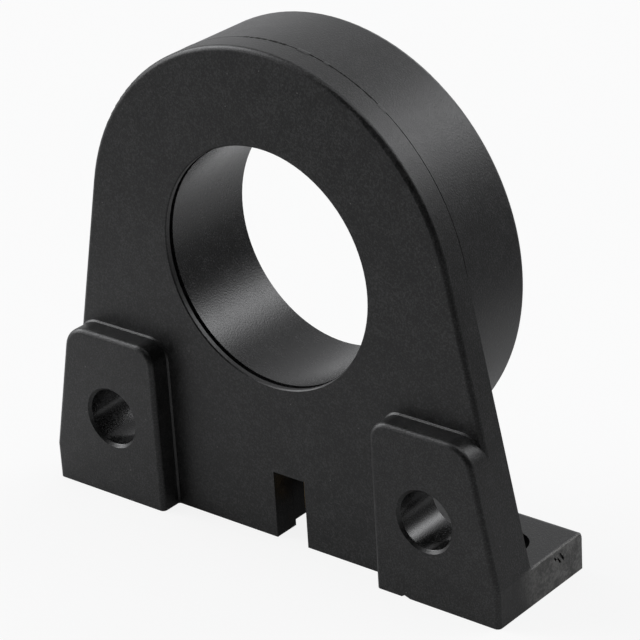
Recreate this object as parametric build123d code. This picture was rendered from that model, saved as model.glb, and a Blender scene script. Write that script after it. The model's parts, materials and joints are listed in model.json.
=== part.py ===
# Current sensor with a round window for the cable and a connector under it.
# Two mouldings make the case: a base housing (upright plate, two corner pads, foot) and a
# ring cover behind it. A gapped steel core and a Hall sensor on three pins sit inside.
# Millimetres. X is the width, -Y the front, +Z up. The origin is at the bottom centre.

import os
from math import acos, atan2, cos, hypot, sin

from build123d import *

# Base housing
base_width = 50.5
plate_t = 2.6
edge_r = 0.45
end_h = 3.5
foot_h = 3.65
foot_root_r = 0.25
foot_back_r = 0.6
foot_bevel = 0.15

# Corner pads and their holes
pad_w = 13.0
pad_h = 16.3
pad_proud = 2.15
pad_inner_r = 1.8
pad_outer_r = 2.5
pad_hole_d = 5.4
pad_hole_inset = 7.45
pad_hole_z = 8.1
hole_bevel = 0.27
pad_root = 0.15

# Foot holes
foot_hole_d = 4.4
foot_hole_inset = 4.5
foot_hole_back = 2.45

# Window: the plate's lip stands just in front of the cover's tube
bore_d = 22.2
tube_wall = 1.0
lip_d = 22.3
lip_t = 0.5
lip_bevel = 0.1
rim_gap = 0.4

# Ring cover
cover_wall = 1.1
cover_floor = 1.1
cover_back_r = 0.5
seam_w = 0.07
seam_depth = 0.12
moulding_fit = 0.1

# Locating ring on the plate's back, and what holds the core
spigot_w = 0.95
spigot_h = 1.5
rib_count = 6
rib_w = 1.2
rib_h = 0.4
core_seat = 0.4
core_stop = 0.35
core_play = 0.1

# Core
core_build = 5.0
core_fit = 0.1
core_side_gap = 0.2

# Small damage: a nick in the right pad's lower edge, and the torn gate mark on the foot's end,
# whose pits are given as along, up, length and width
nick_inset = 3.2
nick_w = 0.9
nick_h = 0.2
nick_depth = 0.3
gate_back = 4.1
gate_z = 2.65
gate_pits = ((0.48, 0.0, 1.0, 0.24), (0.08, -0.2, 0.75, 0.18), (-0.5, 0.2, 0.45, 0.2))
gate_turn = -53
gate_depth = 0.15

# Connector cavity, its roof and the notch in front of it
pin_w = 0.64
pin_pitch = 2.54
pin_count = 3
pin_fit = 0.05
pin_recess = 1.9
pin_to_plate = 0.1
pin_solder = 1.9
pin_point = 0.2
shoulder_w = 0.45
shoulder_h = 0.6
socket_w = 4.9
socket_shift = 0.31
socket_len = 7.8
socket_wall = 0.92
socket_h = 6.6
roof_t = 1.3
core_over_roof = 0.83
notch_w = 3.5

# Hall sensor
chip_t = 0.38
chip_w = 3.4
chip_h = 3.0
substrate_t = 0.38
substrate_gap = 0.1
gap_clear = 0.28

# Closer than this, two places count as the same when an edge is looked for
near = 1e-4

# Radii from the window outwards
bore_r = bore_d / 2
tube_r = bore_r + tube_wall
core_in_r = tube_r + rib_h + core_fit
core_out_r = core_in_r + core_build
spigot_in_r = core_out_r + core_side_gap
chamber_r = spigot_in_r + spigot_w + moulding_fit
ring_r = chamber_r + cover_wall

# Heights
roof_top = socket_h + roof_t
bore_z = roof_top + core_over_roof + core_out_r

# Depths, front to back: the pin row sets how deep the case is behind the plate
row_half = pin_pitch * (pin_count - 1) / 2
row_depth = pin_to_plate + pin_w / 2 + row_half
rear_depth = row_depth + socket_len / 2 + socket_wall
pad_front = -(pad_proud + plate_t + rear_depth) / 2
plate_front = pad_front + pad_proud
plate_back = plate_front + plate_t
rear = plate_back + rear_depth
row_y = plate_back + row_depth
floor_y = rear - cover_floor
core_front = plate_back + core_stop + core_play / 2
core_back = floor_y - core_seat - core_play / 2
tube_front = plate_front + lip_t + rim_gap

# Widths: the chip is on the centre plane, the pins lie beside its ceramic, and the cavity
# and its notch stand a little to the right of them
half_width = base_width / 2
pin_x = chip_t / 2 + substrate_t + pin_w / 2
socket_x = pin_x + socket_shift
core_gap = 2 * (pin_x + pin_w / 2 + gap_clear)
shroud_half = socket_w / 2 + socket_wall


def upright(y):
    """Plane at depth y, seen from the front: local x is X, local y is Z."""
    return Plane(origin=(0, y, 0), x_dir=(1, 0, 0), z_dir=(0, -1, 0))


def slab(sketch, y0, y1):
    """The sketch, drawn as seen from the front, from depth y0 back to y1."""
    return extrude(upright(y0) * sketch, amount=-(y1 - y0))


def block(x0, x1, y0, y1, z0, z1):
    """Box between two corners."""
    size = (x1 - x0, y1 - y0, z1 - z0)
    middle = ((x0 + x1) / 2, (y0 + y1) / 2, (z0 + z1) / 2)
    return Pos(*middle) * Box(*size)


def disc(r, y0, y1):
    """Disc on the window's axis, from depth y0 to y1."""
    return slab(Pos(0, bore_z) * Circle(r), y0, y1)


def ring(r_in, r_out, y0, y1):
    """Ring on the window's axis, from depth y0 to y1."""
    return disc(r_out, y0, y1) - disc(r_in, y0, y1)


def spokes(r_in, r_out, width, y0, y1):
    """Radial ribs round the window's axis, none of them at the core's gap."""
    rib = Pos((r_in + r_out) / 2, 0) * Rectangle(r_out - r_in, width)
    step = 360 / rib_count
    return [slab(Pos(0, bore_z) * Rot(0, 0, i * step) * rib, y0, y1) for i in range(rib_count)]


def outline():
    """Front view of the plate: an arch over the window, tangent sides, upright ends."""
    rise = bore_z - end_h
    reach = hypot(half_width, rise)
    turn = acos(ring_r / reach) - atan2(rise, half_width)
    touch = (ring_r * cos(turn), bore_z + ring_r * sin(turn))
    start = (half_width, 0)
    kink = (half_width, end_h)
    mirrored = [(-x, z) for x, z in (touch, kink, start)]
    sides = Polyline(start, kink, touch) + Polyline(*mirrored)
    arch = ThreePointArc(touch, (0, bore_z + ring_r), mirrored[0])
    return make_face([*sides.edges(), arch, Line(mirrored[2], start)])


def front_edges(solid, y):
    """Edges of the flat front at depth y, all but those on the mounting face."""
    at_front = solid.edges().filter_by(lambda e: abs(e.center().Y - y) < near)
    at_front = at_front.filter_by(lambda e: e.bounding_box().size.Y < near)
    return at_front.filter_by(lambda e: e.bounding_box().max.Z > near)


def plate():
    """Upright plate with its rounded front edge."""
    body = slab(outline(), plate_front, plate_back)
    return fillet(front_edges(body, plate_front), edge_r)


def pad_face(side):
    """Front view of a corner pad, flush with the plate's side, side is -1 or 1."""
    inner = half_width - pad_w
    column = Pos(side * (inner + pad_w / 2), pad_h / 2) * Rectangle(pad_w, pad_h)
    face = outline() & column
    for radius, place in ((pad_inner_r, 0), (pad_outer_r, -1)):
        top = face.vertices().filter_by(lambda v: v.Y > pad_h - near)
        face = fillet(top.sort_by(lambda v: abs(v.X))[place], radius)
    return face


def pad(side):
    """Raised corner pad with a rounded front edge."""
    body = slab(pad_face(side), pad_front, plate_back)
    return fillet(front_edges(body, pad_front), edge_r)


def pad_root_bevel(side):
    """Sloping inner corner where a pad rises from the plate's flat front."""
    spread = offset(pad_face(side), pad_root, kind=Kind.INTERSECTION)
    base = upright(plate_front) * spread
    slope = extrude(base, amount=pad_root, taper=45)
    flat = offset(outline(), -edge_r, kind=Kind.INTERSECTION)
    flat += Pos(0, edge_r / 2) * Rectangle(base_width - 2 * edge_r, edge_r)
    return slope & slab(flat, plate_front - pad_root, plate_front)


def foot(side):
    """Foot flange behind the plate, from one end in to the connector cavity's wall."""
    inner = side * socket_x + shroud_half + moulding_fit
    x0, x1 = sorted((side * inner, side * half_width))
    body = block(x0, x1, plate_back, rear, 0, foot_h)
    back_top = body.edges().filter_by(Axis.X).sort_by(lambda e: e.center().Y + e.center().Z)[-1]
    body = fillet(back_top, foot_back_r)
    end = body.edges().filter_by(lambda e: side * e.center().X > half_width - near)
    end = end.filter_by(lambda e: e.center().Z > foot_h / 2 and e.center().Y > plate_back + near)
    return chamfer(end, foot_bevel)


def foot_root():
    """Rounded inner corner between the foot's top and the plate's back."""
    r = foot_root_r
    corner = block(-half_width, half_width, plate_back, plate_back + r, foot_h, foot_h + r)
    hollow = Pos(0, plate_back + r, foot_h + r) * Rot(0, 90, 0) * Cylinder(r, base_width)
    return (corner - hollow) & slab(outline(), plate_back, plate_back + r)


def pad_hole(side):
    """Through hole of a pad, countersunk a little at the pad's front."""
    x = side * (half_width - pad_hole_inset)
    r = pad_hole_d / 2
    depth = plate_back - pad_front
    profile = [(0, 0), (r + hole_bevel, 0), (r, hole_bevel), (r, depth), (0, depth)]
    half = make_face(Polyline(*profile, close=True).edges())
    return Pos(x, pad_front, pad_hole_z) * revolve(half, Axis.Y)


def foot_hole(side):
    """Vertical hole through the foot."""
    x = side * (half_width - foot_hole_inset)
    y = plate_back + foot_hole_back
    return Pos(x, y, foot_h / 2) * Cylinder(foot_hole_d / 2, foot_h)


def nick():
    """Nick knocked out of the right pad's lower front edge."""
    low = half_width - pad_w + nick_inset - nick_w / 2
    corners = ((low, 0), (low + nick_w, 0), (low + nick_w / 3, nick_h))
    return slab(make_face(Polyline(*corners, close=True).edges()), pad_front, pad_front + nick_depth)


def gate_mark():
    """Pits torn into the foot's right end where the moulding gate was broken off."""
    middle = Plane(
        origin=(half_width, plate_back + gate_back, gate_z), x_dir=(0, 1, 0), z_dir=(1, 0, 0)
    )
    pits = []
    for along, up, length, width in gate_pits:
        pit = Pos(along, up) * Rot(0, 0, gate_turn) * Rectangle(length, width)
        pits.append(extrude(middle * pit, amount=-gate_depth))
    return pits


def base_housing():
    """Plate, pads, foot, the lip round the window and the ring that centres the cover."""
    body = plate()
    for side in (-1, 1):
        body += pad(side)
        body += pad_root_bevel(side)
        body += foot(side)
    body += foot_root()
    body += ring(spigot_in_r, spigot_in_r + spigot_w, plate_back, plate_back + spigot_h)
    socket_r = tube_r + moulding_fit
    for stop in spokes(socket_r, spigot_in_r, rib_w, plate_back, plate_back + core_stop):
        body += stop
    room = shroud_half + moulding_fit
    body -= block(socket_x - room, socket_x + room, plate_back, rear, 0, bore_z - core_out_r)
    body -= disc(lip_d / 2, plate_front, plate_back)
    body -= disc(socket_r, plate_front + lip_t, plate_back + core_stop)
    notch_half = notch_w / 2
    body -= block(socket_x - notch_half, socket_x + notch_half, plate_front, plate_back, 0, socket_h)
    for side in (-1, 1):
        body -= pad_hole(side)
        body -= foot_hole(side)
    body -= nick()
    for pit in gate_mark():
        body -= pit
    lip = body.edges().filter_by(GeomType.CIRCLE)
    lip = lip.filter_by(lambda e: abs(e.radius - lip_d / 2) < near)
    lip = lip.filter_by(lambda e: abs(e.center().Y - plate_front) < near)
    return chamfer(lip, lip_bevel)


def cover_shell():
    """The cup's outer wall, floor and tube, revolved round the window's axis."""
    back_corner = (ring_r, rear)
    section = [
        (bore_r, tube_front),
        (tube_r, tube_front),
        (tube_r, floor_y),
        (chamber_r, floor_y),
        (chamber_r, plate_back),
        (ring_r - seam_depth, plate_back),
        (ring_r - seam_depth, plate_back + seam_w),
        (ring_r, plate_back + seam_w),
        back_corner,
        (bore_r, rear),
    ]
    face = make_face(Polyline(*section, close=True).edges())
    face = fillet(face.vertices().sort_by_distance((*back_corner, 0))[0], cover_back_r)
    return Pos(0, 0, bore_z) * revolve(face, Axis.Y)


def shroud():
    """Block under the ring whose cavity takes the plug."""
    body = block(socket_x - shroud_half, socket_x + shroud_half, plate_back, rear, 0, roof_top)
    return body - disc(chamber_r, plate_back, floor_y) + roof()


def roof():
    """Flat seat inside the ring that the pins' shoulders rest on."""
    x0, x1 = socket_x - shroud_half, socket_x + shroud_half
    low = bore_z - chamber_r - roof_t
    return block(x0, x1, plate_back, floor_y, low, roof_top)


def ring_cover():
    """Cup, tube, core ribs and connector shroud as one moulding."""
    body = cover_shell() + shroud()
    deep = 0.5 * tube_wall
    for rib in spokes(tube_r - deep, tube_r + rib_h, rib_w, core_front, floor_y):
        body += rib
    for seat in spokes(tube_r - deep, chamber_r + deep, rib_w, floor_y - core_seat, floor_y):
        body += seat
    cavity_back = row_y + socket_len / 2
    x0, x1 = socket_x - socket_w / 2, socket_x + socket_w / 2
    body -= block(x0, x1, plate_back, cavity_back, 0, socket_h)
    for i in range(pin_count):
        y = row_y - row_half + i * pin_pitch
        hole_half = pin_w / 2 + pin_fit
        x0, x1 = pin_x - hole_half, pin_x + hole_half
        body -= block(x0, x1, y - hole_half, y + hole_half, socket_h, roof_top)
    return body


def flux_core():
    """Ring of wound strip with the sensor's gap cut at the bottom."""
    body = ring(core_in_r, core_out_r, core_front, core_back)
    top = bore_z - core_in_r + core_build
    return body - block(-core_gap / 2, core_gap / 2, core_front, core_back, 0, top)


def hall_chip():
    """Sensing element, on the centre plane of the core's gap."""
    z = bore_z - (core_in_r + core_out_r) / 2
    return Pos(0, row_y, z) * Box(chip_t, chip_w, chip_h)


def hall_substrate():
    """Ceramic strip between the chip and the pins."""
    x = chip_t / 2
    half = row_half + pin_w / 2
    top = bore_z - tube_r - rib_h
    return block(x, x + substrate_t, row_y - half, row_y + half, roof_top + substrate_gap, top)


def terminal(i):
    """Square pin with a pointed tip and a shoulder that rests on the cavity's roof."""
    y = row_y - row_half + i * pin_pitch
    x0, x1 = pin_x - pin_w / 2, pin_x + pin_w / 2
    y0, y1 = y - pin_w / 2, y + pin_w / 2
    body = block(x0, x1, y0, y1, pin_recess, roof_top + shoulder_h + pin_solder)
    tip = body.edges().filter_by(lambda e: e.center().Z < pin_recess + near)
    body = chamfer(tip, pin_point)
    return body + block(x0, x1 + shoulder_w, y0, y1, roof_top, roof_top + shoulder_h)


parts = {
    "base_housing": base_housing(),
    "ring_cover": ring_cover(),
    "flux_core": flux_core(),
    "hall_chip": hall_chip(),
    "hall_substrate": hall_substrate(),
}
for i, name in enumerate(("supply", "ground", "output")):
    parts[f"terminal_{name}"] = terminal(i)

os.makedirs("parts", exist_ok=True)
for name, solid in parts.items():
    solid.label = name
    export_step(solid, f"parts/{name}.step")
    box = solid.bounding_box()
    size = f"{box.size.X:.2f} x {box.size.Y:.2f} x {box.size.Z:.2f}"
    print(f"{name}: solids {len(solid.solids())}, volume {solid.volume:.1f}, size {size}")
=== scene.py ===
"""Current sensor: two black mouldings round a large window, with three pins underneath."""

import json
import random
from math import cos, pi, radians, sin

import bpy
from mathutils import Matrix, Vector


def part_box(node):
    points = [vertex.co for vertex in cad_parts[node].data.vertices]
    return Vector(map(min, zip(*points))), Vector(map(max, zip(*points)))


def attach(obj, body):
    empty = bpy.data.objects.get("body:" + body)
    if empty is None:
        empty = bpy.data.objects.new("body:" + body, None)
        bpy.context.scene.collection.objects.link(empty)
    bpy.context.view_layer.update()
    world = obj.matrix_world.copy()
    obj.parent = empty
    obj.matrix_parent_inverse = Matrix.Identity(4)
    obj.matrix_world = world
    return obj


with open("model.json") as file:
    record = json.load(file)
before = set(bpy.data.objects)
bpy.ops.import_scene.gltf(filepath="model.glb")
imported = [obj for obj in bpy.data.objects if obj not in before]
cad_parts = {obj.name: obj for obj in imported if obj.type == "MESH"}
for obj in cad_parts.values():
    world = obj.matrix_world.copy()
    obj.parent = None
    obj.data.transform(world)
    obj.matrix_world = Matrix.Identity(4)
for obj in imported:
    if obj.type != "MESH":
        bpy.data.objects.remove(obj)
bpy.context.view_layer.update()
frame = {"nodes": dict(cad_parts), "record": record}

# The view: a long lens from the front right and above, so upright lines stay nearly parallel.
# The lens is in millimetres on a 36 mm frame, and the camera leans by three degrees.
mm = 0.001
view_data = bpy.data.cameras.new("view")
view_data.sensor_width = 36
view_data.lens = 161.7
view = bpy.data.objects.new("view", view_data)
view.location = Vector((148.36, -172.49, 126.22)) * mm
view.rotation_euler = (radians(64.891), radians(3.227), radians(38.714))
bpy.context.scene.collection.objects.link(view)
bpy.context.scene.camera = view


# Base housing: the upright plate with its corner pads and foot, moulded in one shot from
# black glass-filled polyester. The tool's fine spark-eroded grain leaves it matt all over,
# a few light specks of filler show in the skin, and the foot's gate end is rough and scuffed.
class Wire:
    """A socket of a material's nodes, so that shader maths reads as plain expressions."""

    def __init__(self, tree, socket=None):
        self.tree = tree
        self.socket = socket

    def node(self, kind, settings, sockets, output=0):
        """A new node: its settings first, then the values or links of its sockets."""
        made = self.tree.nodes.new("ShaderNode" + kind)
        for name, value in settings.items():
            setattr(made, name, value)
        for name, value in sockets.items():
            if isinstance(value, Wire):
                self.tree.links.new(value.socket, made.inputs[name])
            else:
                made.inputs[name].default_value = value
        return Wire(self.tree, made.outputs[output])

    def maths(self, operation, other=0.0):
        return self.node("Math", {"operation": operation}, {0: self, 1: other})

    def __add__(self, other):
        return self.maths("ADD", other)

    def __sub__(self, other):
        return self.maths("SUBTRACT", other)

    def __rsub__(self, other):
        return self.node("Math", {"operation": "SUBTRACT"}, {0: other, 1: self})

    def __mul__(self, other):
        return self.maths("MULTIPLY", other)

    __radd__ = __add__
    __rmul__ = __mul__

    def ramp(self, low, high):
        """0 below low, 1 above high and a smooth rise between them."""
        settings = {"interpolation_type": "SMOOTHSTEP"}
        sockets = {"Value": self, "From Min": low, "From Max": high}
        return self.node("MapRange", settings, sockets)

    def blend(self, first, second):
        """The first colour where this value is 0 and the second where it is 1."""
        factor, colour_a, colour_b, result = 0, 6, 7, 2
        sockets = {factor: self, colour_a: first, colour_b: second}
        return self.node("Mix", {"data_type": "RGBA"}, sockets, result)

    def vector(self, operation, other):
        return self.node("VectorMath", {"operation": operation}, {0: self, 1: other})

    def length(self):
        return self.node("VectorMath", {"operation": "LENGTH"}, {0: self}, "Value")

    def dot(self, other):
        return self.node("VectorMath", {"operation": "DOT_PRODUCT"}, {0: self, 1: other}, "Value")

    def axis(self, letter):
        return self.node("SeparateXYZ", {}, {"Vector": self}, letter)

    def off_line(self, point):
        """Distance to the line that runs from front to back through a point."""
        return self.vector("SUBTRACT", point).vector("MULTIPLY", (1, 0, 1)).length()


def material(name):
    """A new material, its shader, and a wire that carries the place on the piece."""
    made = bpy.data.materials.new(name)
    made.use_nodes = True
    shader = made.node_tree.nodes["Principled BSDF"]
    place = Wire(made.node_tree).node("TexCoord", {}, {}, "Object")
    return made, shader, place


def plug(wire, node, name):
    """Links a wire to a socket of a node that the material or world already has."""
    wire.tree.links.new(wire.socket, node.inputs[name])


def noise(place, size, detail, sharpness):
    """Soft blotches of about the given size, 0 to 1, in the piece's own space."""
    sockets = {"Vector": place, "Scale": 1 / size, "Detail": detail, "Roughness": sharpness}
    return place.node("TexNoise", {}, sockets, "Fac")


def specks(place, spacing, size, share):
    """Round flecks, at most one in each cell of the spacing, in only a share of the cells."""
    sockets = {"Vector": place, "Scale": 1 / spacing}
    from_middle = place.node("TexVoronoi", {}, sockets, "Distance")
    cell_colour = place.node("TexVoronoi", {}, sockets, "Color")
    lot = place.node("SeparateColor", {}, {"Color": cell_colour}, "Red")
    chosen = lot.ramp(1 - share, 1 - share + 0.01)
    return chosen * (1 - from_middle.ramp(0.5 * size / spacing, size / spacing))


def moulded(name, shade, roughness):
    """Black moulded plastic: fine grain, faint flow mottling and a few specks."""
    grain_size, grain_depth, grain_sheen = 0.15 * mm, 0.02 * mm, 0.25
    mottle_size, mottle_share, mottle_sheen = 1.6 * mm, 0.25, 0.14
    speck_spacing, speck_size, speck_share = 0.5 * mm, 0.08 * mm, 0.03
    made, shader, place = material(name)
    grain = noise(place, grain_size, 2.0, 0.6)
    mottle = noise(place, mottle_size, 4.0, 0.65)
    dark = [0.5 * c for c in shade] + [1]
    light = [3.4 * c for c in shade] + [1]
    tone = mottle * mottle_share + grain * (1 - mottle_share)
    colour = tone.ramp(0.42, 0.72).blend(dark, light)
    filler = specks(place, speck_spacing, speck_size, speck_share)
    colour = filler.blend(colour, (0.12, 0.12, 0.115, 1))
    rough = roughness + (mottle - 0.5) * mottle_sheen + (grain - 0.5) * grain_sheen
    height = grain * grain_depth
    return made, shader, place, colour, rough, height


def finish(shader, colour, rough, height):
    """Gives a shader its colour and roughness, and a height in metres as bump."""
    plug(colour, shader, "Base Color")
    plug(rough, shader, "Roughness")
    bump = height.node("Bump", {}, {"Height": height, "Strength": 1.0, "Distance": 1.0}, "Normal")
    plug(bump, shader, "Normal")


def wear(node, finished):
    """Gives a node of the frame its finished material."""
    slots = frame["nodes"][node].data.materials
    slots.clear()
    slots.append(finished)


black = (0.0125, 0.0125, 0.0125)
housing, shader, place, colour, rough, height = moulded("housing_plastic", black, 0.39)

# The core pins of the tool leave the screw holes' walls smooth
mounts = {mount["name"]: mount for mount in frame["record"]["mounts"]}
pad_holes = mounts["pad_holes"]
hole_x = pad_holes["dims"]["spacing_x_mm"] / 2 * mm
hole_z = pad_holes["pos_m"][2]
hole_r = pad_holes["dims"]["hole_r_mm"] * mm
off_right = place.off_line((hole_x, 0, hole_z))
off_left = place.off_line((-hole_x, 0, hole_z))
in_hole = 1 - off_right.maths("MINIMUM", off_left).ramp(hole_r, hole_r + 0.05 * mm)
rough = rough - in_hole * 0.2
height = height * (1 - in_hole * 0.6)

# The gate end of the foot: torn skin with pale scuffs, and a pale line along its top edge that is
# partly rubbed wear and partly a painted highlight
plate_back = -1.515 * mm
foot_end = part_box("base_housing")[1].x
foot_top = mounts["foot_holes"]["pos_m"][2]
torn = place.axis("X").ramp(foot_end - 0.1 * mm, foot_end - 0.04 * mm)
torn = torn * place.axis("Y").ramp(plate_back - 2.2 * mm, plate_back + 1.8 * mm)
torn = torn * (1 - place.axis("Z").ramp(foot_top - 0.05 * mm, foot_top + 0.15 * mm))
scuffs = noise(place, 0.3 * mm, 4.0, 0.7)
patches = noise(place, 1.6 * mm, 3.0, 0.6)
scuffed = torn * (scuffs * 0.5 + patches * 0.5).ramp(0.4, 0.6)
# A pale line along the end's top edge, behind the plate: partly rubbed wear, partly a painted
# highlight on the edge.
edge_line = (foot_end, 0, foot_top - 0.07 * mm)
on_edge = 1 - place.off_line(edge_line).ramp(0.06 * mm, 0.16 * mm)
behind_plate = place.axis("Y").ramp(plate_back, plate_back + 1 * mm)
rub_and_highlight = on_edge * scuffs.ramp(0.35, 0.65) * behind_plate
colour = (torn * 0.9).blend(colour, (0.07, 0.07, 0.067, 1))
colour = scuffed.blend(colour, (0.17, 0.168, 0.162, 1))
colour = rub_and_highlight.blend(colour, (0.2, 0.197, 0.185, 1))
rough = rough + torn * 0.12
height = height + torn * (scuffs + patches) * 0.02 * mm
finish(shader, colour, rough, height)
wear("base_housing", housing)

# Ring cover: the cup that shuts the core in, with the tube through the window and the plug's
# cavity below. It is the same black polyester, and the tube's wall inside is smoother.
ring_low, ring_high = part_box("ring_cover")
ring_r = (ring_high.x - ring_low.x) / 2
axis_point = Vector((0, 0, ring_high.z - ring_r))
window_r = mounts["window"]["dims"]["r_mm"] * mm
cover_black = (0.0125, 0.0125, 0.0128)
cover, shader, place, colour, rough, height = moulded("cover_plastic", cover_black, 0.37)
in_window = 1 - place.off_line(axis_point).ramp(window_r + 0.1 * mm, window_r + 0.3 * mm)
rough = rough - in_window * 0.14
finish(shader, colour, rough, height)
wear("ring_cover", cover)

# Seam flash: where the cover is welded to the plate, melted plastic came up in places and lies
# over the groove between them in thin skins. The dark line round the ring is broken there.
seam_w = 0.07 * mm
seam_y = plate_back + seam_w / 2


def round_the_rim(name, arcs):
    """One piece of flat arcs on the seam: middle and sweep in degrees, half width in mm."""
    thickness_share, raggedness = 0.1, 0.03
    bpy.ops.object.select_all(action="DESELECT")
    made = []
    for middle, sweep, half_width in arcs:
        radius = half_width * mm
        start = radians(middle - sweep / 2)
        centre = axis_point + Vector((cos(start), 0, sin(start))) * ring_r
        centre.y = seam_y
        bpy.ops.mesh.primitive_circle_add(
            vertices=8, radius=radius, fill_type="NGON", location=centre, rotation=(0, -start, 0)
        )
        arc = bpy.context.active_object
        arc.scale.x = thickness_share
        bpy.ops.object.transform_apply(location=True, rotation=True, scale=True)
        bpy.ops.object.mode_set(mode="EDIT")
        bpy.ops.mesh.select_all(action="SELECT")
        window_axis = (0, seam_y, axis_point.z)
        steps = 2 + round(sweep * 2)
        bpy.ops.mesh.spin(steps=steps, angle=radians(sweep), center=window_axis, axis=(0, -1, 0))
        bpy.ops.mesh.select_all(action="SELECT")
        bpy.ops.transform.vertex_random(offset=raggedness * radius, uniform=1.0, seed=len(made))
        bpy.ops.mesh.normals_make_consistent(inside=False)
        bpy.ops.object.mode_set(mode="OBJECT")
        made.append(arc)
    for arc in made:
        arc.select_set(True)
    bpy.context.view_layer.objects.active = made[0]
    bpy.ops.object.join()
    piece = bpy.context.active_object
    piece.name = name
    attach(piece, "root")
    return piece


skins = [(126, 8, 0.2), (82.9, 3.7, 0.25), (73.8, 1.6, 0.2), (56.9, 2.8, 0.2), (4, 16, 0.15)]
flash = round_the_rim("seam_flash", skins)
flash.data.materials.append(cover)

# Seam shade: a matt near-black strip laid along the groove as painted shade for its shadow. It
# lies in short dashes between the skins, and in one thin stretch on either side of them.
chance = random.Random(5)
dashes = []
for first, last, widest in ((58.6, 72.9, 0.09), (75, 80.8, 0.09), (84.9, 99, 0.15)):
    angle = first
    while angle < last:
        sweep = chance.uniform(0.4, 1.5)
        dashes.append((angle + sweep / 2, sweep, widest * chance.uniform(0.6, 1)))
        angle += sweep + chance.uniform(0.15, 0.5)
long_stretches = [(41, 28.5, 0.045), (106, 13, 0.05)]
seam_shade = round_the_rim("seam_painted_shade", dashes + long_stretches)
# The strip's near-black colour is painted shade, the shadow deep in the groove.
seam_shade_material, shader, place = material("seam_shade_dark")
shader.inputs["Specular IOR Level"].default_value = 0.15
grain = noise(place, 0.1 * mm, 2.0, 0.6)
colour = grain.ramp(0.3, 0.7).blend((0.004, 0.004, 0.004, 1), (0.03, 0.029, 0.027, 1))
plug(colour, shader, "Base Color")
plug(0.8 + grain * 0.2, shader, "Roughness")
seam_shade.data.materials.append(seam_shade_material)

# Terminals: square pins of drawn brass wire with a thin gold plating. The wire's drawing
# lines run up and down them.
pin, shader, place = material("pin_metal")
shader.inputs["Metallic"].default_value = 1
drawn = noise(place.vector("MULTIPLY", (1, 1, 0.05)), 0.08 * mm, 2.0, 0.6)
colour = drawn.ramp(0.3, 0.7).blend((0.78, 0.50, 0.19, 1), (0.9, 0.63, 0.28, 1))
plug(colour, shader, "Base Color")
plug(0.2 + drawn * 0.18, shader, "Roughness")
for name in ("supply", "ground", "output"):
    wear(f"terminal_{name}", pin)

# Hall substrate: a strip of fired alumina, off-white and finely pitted. It carries the chip
# and joins it to the pins.
ceramic, shader, place = material("alumina")
fired = noise(place, 0.25 * mm, 3.0, 0.6)
colour = fired.ramp(0.3, 0.7).blend((0.72, 0.71, 0.67, 1), (0.82, 0.81, 0.78, 1))
finish(shader, colour, 0.42 + fired * 0.2, fired * 0.002 * mm)
wear("hall_substrate", ceramic)

# Hall chip: the sensing element in black moulding compound with a ground face. It sits on the
# ceramic strip, in the core's gap.
chip, shader, place = material("chip_compound")
ground = noise(place, 0.08 * mm, 3.0, 0.6)
colour = ground.ramp(0.3, 0.7).blend((0.016, 0.016, 0.018, 1), (0.026, 0.026, 0.029, 1))
finish(shader, colour, 0.5 + ground * 0.2, ground * 0.002 * mm)
wear("hall_chip", chip)

# Flux core: a ring wound from thin silicon steel strip and sawn through at the gap. The edges
# of its turns show as fine rings on the flat faces.
wound, shader, place = material("wound_strip")
shader.inputs["Metallic"].default_value = 1
strip_t = 0.1 * mm
wave = place.off_line(axis_point) * (2 * pi / strip_t)
turns = wave.maths("SINE") * 0.5 + 0.5
stain = noise(place, 3 * mm, 3.0, 0.6)
tone = (turns * 0.6 + stain * 0.4).ramp(0.2, 0.8)
colour = tone.blend((0.2, 0.19, 0.18, 1), (0.42, 0.41, 0.39, 1))
finish(shader, colour, 0.3 + stain * 0.25, turns * 0.01 * mm)
wear("flux_core", wound)


# Studio floor: a sheet of pale card under the part. The camera sees it white with a faint shadow.
# The part is lit by the card, whose colour is painted paler near the part and behind its left
# side than elsewhere, as painted light where the studio lit it more, and which glows faintly near
# the part.
def straight_or_through(wire):
    """1 for what the camera sees straight or through glass, and 0 for light on the part."""
    straight = wire.node("LightPath", {}, {}, "Is Camera Ray")
    through = wire.node("LightPath", {}, {}, "Is Transmission Ray")
    return straight.maths("MAXIMUM", through)


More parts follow.
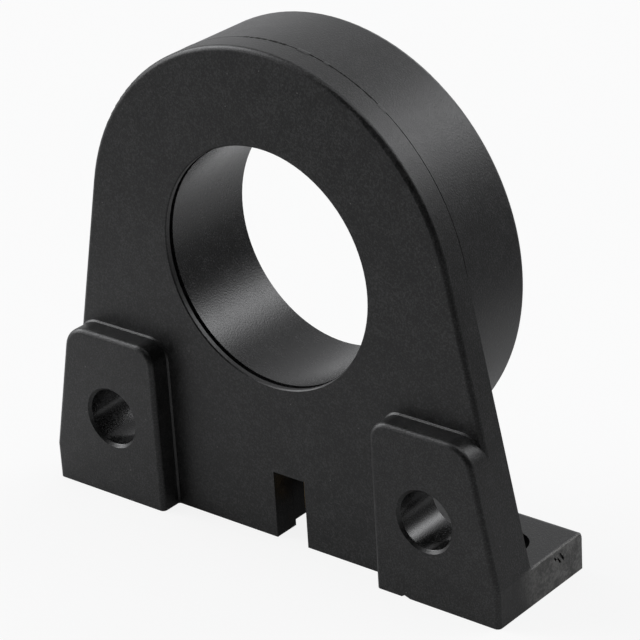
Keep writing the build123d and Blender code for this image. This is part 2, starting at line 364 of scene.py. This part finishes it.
bpy.ops.mesh.primitive_plane_add(size=2.4, location=(0, 0, 0))
floor = bpy.context.active_object
floor.name = "floor"
card, _, place = material("card")
floor.data.materials.append(card)
# The card's colour is graded as painted light: paler near the part and behind its left side.
far = place.length().ramp(40 * mm, 90 * mm)
behind_left = place.dot((-0.8, 0.6, 0)).ramp(0, 32 * mm)
near_card = behind_left.blend((0.52, 0.52, 0.52, 1), (0.85, 0.85, 0.85, 1))
far_card = behind_left.blend((0.27, 0.27, 0.27, 1), (0.5, 0.5, 0.5, 1))
plain = place.node("BsdfDiffuse", {}, {"Color": far.blend(near_card, far_card)})
near_glow = place.node("Emission", {}, {"Strength": (1 - far) * 0.08})
lighting = place.node("AddShader", {}, {0: plain, 1: near_glow})
faint = place.node("BsdfDiffuse", {}, {"Color": (0.1, 0.1, 0.1, 1)})
glow = place.node("Emission", {}, {"Strength": 0.87})
seen = place.node("AddShader", {}, {0: faint, 1: glow})
surface = place.node("MixShader", {}, {0: straight_or_through(place), 1: lighting, 2: seen})
plug(surface, card.node_tree.nodes["Material Output"], "Surface")

# Studio light: soft boxes drawn into the world as blurred spots. Azimuth 0 is in front of the
# part and 90 on its right, and a higher sharpness makes a smaller box.
world = bpy.data.worlds.new("studio")
bpy.context.scene.world = world
world.use_nodes = True
way = Wire(world.node_tree).node("TexCoord", {}, {}, "Generated")
soft_boxes = (
    # azimuth, height, sharpness, strength
    (150, 36, 42, 5.3),
    (281, 33, 22, 8.6),
    (302, 2, 25, 4.4),
    (190, 10, 4, 1.2),
    (228, 3, 30, 0.3),
    (117, 75, 30, 3.1),
)
level = 0
for azimuth, height, sharpness, strength in soft_boxes:
    a, h = radians(azimuth), radians(height)
    toward = (sin(a) * cos(h), -cos(a) * cos(h), sin(h))
    off = (way.dot(toward) - 1) * sharpness
    level = level + off.maths("EXPONENT") * strength
around = way.node("Background", {}, {"Color": (0.98, 0.985, 1, 1), "Strength": level})
white = way.node("Background", {}, {"Color": (1, 1, 1, 1)})
sky = way.node("MixShader", {}, {0: straight_or_through(way), 1: around, 2: white})
plug(sky, world.node_tree.nodes["World Output"], "Surface")

bpy.context.scene.view_settings.view_transform = "Standard"
